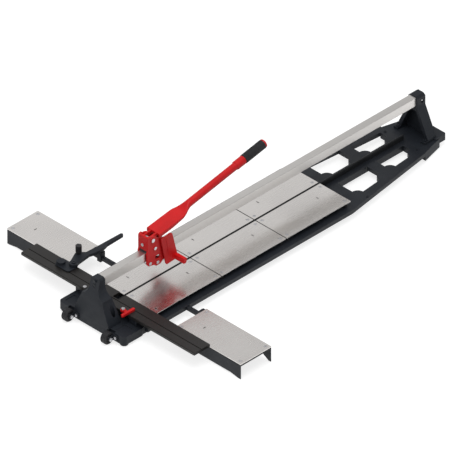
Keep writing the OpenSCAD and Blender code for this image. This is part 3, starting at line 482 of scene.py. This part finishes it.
def build_grip():
    """The rubber grip with its ring grooves."""
    bm = bmesh.new()
    groove_r = GRIP_R - GRIP_GROOVE_DEPTH
    profile = [(COLLAR_END, TUBE_R - 3), (COLLAR_END, GRIP_R - 0.9), (COLLAR_END + 0.8, GRIP_R)]
    groove = COLLAR_END + GRIP_PLAIN_END
    while groove + GRIP_GROOVE_PITCH < GRIP_END - GRIP_PLAIN_END:
        profile += [(groove, GRIP_R), (groove + 0.5, groove_r),
                    (groove + 1.5, groove_r), (groove + 2.0, GRIP_R)]
        groove += GRIP_GROOVE_PITCH
    profile += [(GRIP_END - 0.8, GRIP_R), (GRIP_END, GRIP_R - 0.8), (GRIP_END, TUBE_R - 3)]
    add_loft(bm, lathe_rings(profile, TUBE_ORIGIN, TUBE_AXIS), closed=True)
    new_piece("grip_ribbed", bm, "grip_rubber", "lever", ["handle_grip"])


def build_grip_cap():
    """The domed cap with a small dimple at the grip's end."""
    bm = bmesh.new()
    r = GRIP_R - 0.5
    profile = [(0, 6), (0, r - 0.6), (0.6, r), (4.2, r), (6.0, r - 0.7), (7.2, r - 2.2), (7.8, r - 4.5),
               (CAP_LENGTH, r - 7.5), (CAP_LENGTH, 4), (7.3, 2.6), (7.2, 0.6)]
    profile = [(GRIP_END + distance, radius) for distance, radius in profile]
    add_loft(bm, lathe_rings(profile, TUBE_ORIGIN, TUBE_AXIS))
    new_piece("grip_end_cap", bm, "red_plastic", "lever", ["handle_cap"])


WHEEL = (90.0, -171.0, -37.5)
TYRE_R = 21.98
TREAD_GROOVES, TREAD_GROOVE_R = (-3.4, 3.4), 21.2


def build_wheel(side, body):
    """A transport wheel: a grooved tyre on a dished hub."""
    centre = at(side * WHEEL[0], WHEEL[1], WHEEL[2])
    across = Vector((1, 0, 0))
    tyre = [(-10.6, 14), (-11, 14.6), (-11, 18.6), (-10.4, 20.4), (-8.8, 21.6), (-6.6, TYRE_R)]
    for groove in TREAD_GROOVES:
        tyre += [(groove - 0.9, TYRE_R), (groove - 0.5, TREAD_GROOVE_R),
                 (groove + 0.5, TREAD_GROOVE_R), (groove + 0.9, TYRE_R)]
    tyre += [(6.6, TYRE_R), (8.8, 21.6), (10.4, 20.4), (11, 18.6), (11, 14.6), (10.6, 14)]
    bm = bmesh.new()
    add_loft(bm, lathe_rings(tyre, centre, across), closed=True)
    name = "left" if side < 0 else "right"
    new_piece(f"tyre_{name}", bm, "tyre_rubber", body, [f"transport_wheel_{name}"])
    bm = bmesh.new()
    hub = [(-10.9, 4.1), (-10.9, 6.6), (-10.5, 7.2), (-7, 7.6), (-6.4, 8.4), (-6.4, 11.4), (-7, 12.2),
           (-9.8, 12.6), (-10.3, 13.2), (-10.3, 14)]
    hub += [(-x, r) for x, r in reversed(hub)]
    add_loft(bm, lathe_rings(hub, centre, across), closed=True)
    new_piece(f"hub_{name}", bm, "black_plastic", body)


CHEEK = [(80, 90), (88, 80), (112, 75), (122, 66), (143, 66), (152, 76), (194, 80), (194, 124), (152, 128),
         (154, 150), (150, 166), (132, 172), (120, 186), (108, 190), (100, 190), (96, 196), (88, 196),
         (83, 190), (83, 138), (80, 130)]
CHEEK_WINDOW = [(119, 92), (139, 92), (139, 107), (119, 107)]
FRONT_BLOCK = [(83, 139), (92, 139), (92, 192), (89, 195), (86, 195), (83, 192)]
TOP_ROLLER = (116.0, 140.6)
SCORER = (128.0, 79.0)
LOW_ROLLERS = ((94.0, 89.4), (182.0, 89.4))
AXLE_R = 4
CHEEK_IN, CHEEK_OUT = 16.5, 22.5
BREAKER_Y, BREAKER_LEAN_DEGREES = 196, 12


def leaning(half, z0, z1):
    """The outline of a bar with the breaker's lean, between two heights above the bed."""
    run = math.tan(math.radians(BREAKER_LEAN_DEGREES))
    return [(BREAKER_Y - half - z0 * run, z0), (BREAKER_Y + half - z0 * run, z0),
            (BREAKER_Y + half - z1 * run, z1), (BREAKER_Y - half - z1 * run, z1)]


def add_side_plate(bm, side, outline, holes, inner, outer, round_by):
    """A plate on one side of the carriage, from its inner to its outer distance from the middle."""
    low, high = sorted((side * inner, side * outer))
    add_plate(bm, outline, holes, low, high, round_by)


def build_carriage():
    """Cheeks with rounded outlines and bosses, joined by the front block."""
    bm = bmesh.new()
    holes = [disc(*PIVOT, PIVOT_R), disc(*TOP_ROLLER, AXLE_R), disc(*SCORER, AXLE_R), rounded(CHEEK_WINDOW, 3)]
    holes += [disc(*roller, AXLE_R) for roller in LOW_ROLLERS]
    boss_in, boss_out = CHEEK_OUT - 1.5, CHEEK_OUT + 1.5
    for side in (-1, 1):
        add_side_plate(bm, side, rounded(CHEEK, 6), holes, CHEEK_IN, CHEEK_OUT, 1.4)
        for centre, boss_r, hole_r in ((PIVOT, 10, PIVOT_R), (TOP_ROLLER, 9, AXLE_R)):
            add_side_plate(bm, side, disc(*centre, boss_r), [disc(*centre, hole_r)], boss_in, boss_out, 0.8)
        # the guide that runs between the ribs inside the breaker's side plate
        add_side_plate(bm, side, rounded(leaning(7, 100, 118), 2), [], CHEEK_OUT - 1, 28.2, 0.6)
    # the front block reaches 1 mm into both cheeks
    add_plate(bm, rounded(FRONT_BLOCK, 2), [], -CHEEK_IN - 1, CHEEK_IN + 1, 1.2)
    new_piece("carriage_frame", bm, "red_paint", "carriage", ["carriage_body"])


BREAKER = [(136, 168), (140, 172), (182, 173), (188, 168), (212, 72), (208, 60), (162, 56), (157, 62)]
# ribs on the inner face, one before and one behind the carriage's guide
BREAKER_RIBS = (
    [(137.5, 168), (141, 171), (152, 170), (167.4, 97), (172, 64), (163, 57.5), (158.5, 63)],
    [(185, 162), (182, 172), (168.5, 171), (183.2, 99.6), (174.5, 66), (204, 62), (209, 74)],
)
FOOT = [(197, 60), (209, 61), (214, 74), (208, 83), (197, 81)]
FOOT_HALF = 74


def build_breaker():
    """Side plates with ribs on both faces and rolled edges, and the pressing foot with rounded corners."""
    for side, name in ((-1, "left"), (1, "right")):
        bm = bmesh.new()
        add_side_plate(bm, side, rounded(BREAKER, 7), [], 28.5, 31.5, 1.3)
        for outline in BREAKER_RIBS:
            add_side_plate(bm, side, rounded(outline, 3), [], 25.5, 28.6, 0.4)
        add_side_plate(bm, side, rounded(leaning(5, 64, 164), 4), [], 31, 33, 0.8)
        new_piece(f"breaker_plate_{name}", bm, "red_paint", "breaker", [f"breaker_{name}"])
    bm = bmesh.new()
    add_plate(bm, rounded(FOOT, 4), [], -FOOT_HALF, FOOT_HALF, 1.8)
    new_piece("breaker_foot", bm, "red_paint", "breaker", ["breaker_bar"])


build_lever()
build_grip()
build_grip_cap()
build_wheel(-1, "left_wheel")
build_wheel(1, "right_wheel")
build_carriage()
build_breaker()

# ---------------------------------------------------------------- studio

# The photo is nearly a parallel view. A longer lens would put the camera so far off in the other views
# that their clip distance cuts the floor behind the object.
LENS = 1450.0
SENSOR = 36.0
FRAME_WIDTH = 1.5355  # metres across the picture at the target
TARGET = Vector((0.0141, -0.1158, 0.06))
VIEW_BACK = Vector((1, -1, 1)).normalized()
FLOOR_SIZE = 60
LIGHT_AIM = Vector((0, 0, 0.1))
SKY_LOW, SKY_HIGH = -0.2, 0.45  # heights on the sky between which it brightens


def make_camera():
    """The camera at the photo's angle, far off on a long lens."""
    data = bpy.data.cameras.new("camera")
    data.lens = LENS
    data.sensor_width = SENSOR
    distance = FRAME_WIDTH * LENS / SENSOR
    camera = bpy.data.objects.new("camera", data)
    camera.location = TARGET + VIEW_BACK * distance
    camera.rotation_mode = "QUATERNION"
    camera.rotation_quaternion = (-VIEW_BACK).to_track_quat("-Z", "Y")
    data.clip_start = 1.0
    data.clip_end = 400.0
    bpy.context.scene.collection.objects.link(camera)
    bpy.context.scene.camera = camera


def make_light(name, location, size, power):
    """A soft round light that faces the object."""
    data = bpy.data.lights.new(name, "AREA")
    data.shape = "DISK"
    data.size = size
    data.energy = power
    light = bpy.data.objects.new(name, data)
    light.location = location
    light.rotation_mode = "QUATERNION"
    light.rotation_quaternion = (LIGHT_AIM - Vector(location)).to_track_quat("-Z", "Y")
    bpy.context.scene.collection.objects.link(light)


def make_sky(low, high):
    """A white sky that is dim near the horizon and bright overhead."""
    world = bpy.data.worlds.new("studio")
    world.use_nodes = True
    tree = world.node_tree
    coords = tree.nodes.new("ShaderNodeTexCoord")
    split = tree.nodes.new("ShaderNodeSeparateXYZ")
    rise = tree.nodes.new("ShaderNodeMapRange")
    for i, number in enumerate((SKY_LOW, SKY_HIGH, low, high)):
        rise.inputs[i + 1].default_value = number
    tree.links.new(coords.outputs["Generated"], split.inputs[0])
    tree.links.new(split.outputs["Z"], rise.inputs[0])
    background = tree.nodes["Background"]
    background.inputs["Color"].default_value = (1, 1, 1, 1)
    tree.links.new(rise.outputs[0], background.inputs["Strength"])
    return world


def make_studio():
    """A pale floor, a white sky and three soft lights."""
    bpy.ops.mesh.primitive_plane_add(size=FLOOR_SIZE, location=(0, 0, 0))
    floor = bpy.context.object
    floor.name = "floor"
    s = Shader("floor")
    s.set(Roughness=0.9, Specular_IOR_Level=0.1, Emission_Color=(1, 1, 1, 1), Emission_Strength=0.76)
    s.colour(s.mix(s.span(s.noise(3), 0.3, 0.7, 0.0, 1.0), (0.44, 0.44, 0.44), (0.46, 0.46, 0.46)))
    floor.data.materials.append(s.material)
    # the floor gives no bounce light, so upright faces stay darker than top faces
    floor.visible_diffuse = False
    bpy.context.scene.world = make_sky(0.2, 0.58)
    make_light("key", (0.6, -0.8, 3.8), 3.0, 50)
    make_light("fill", (1.0, -3.0, 1.6), 2.4, 5)
    make_light("rim", (-2.6, 1.8, 1.8), 2.2, 3)
    bpy.context.scene.view_settings.view_transform = "Standard"


make_camera()
make_studio()
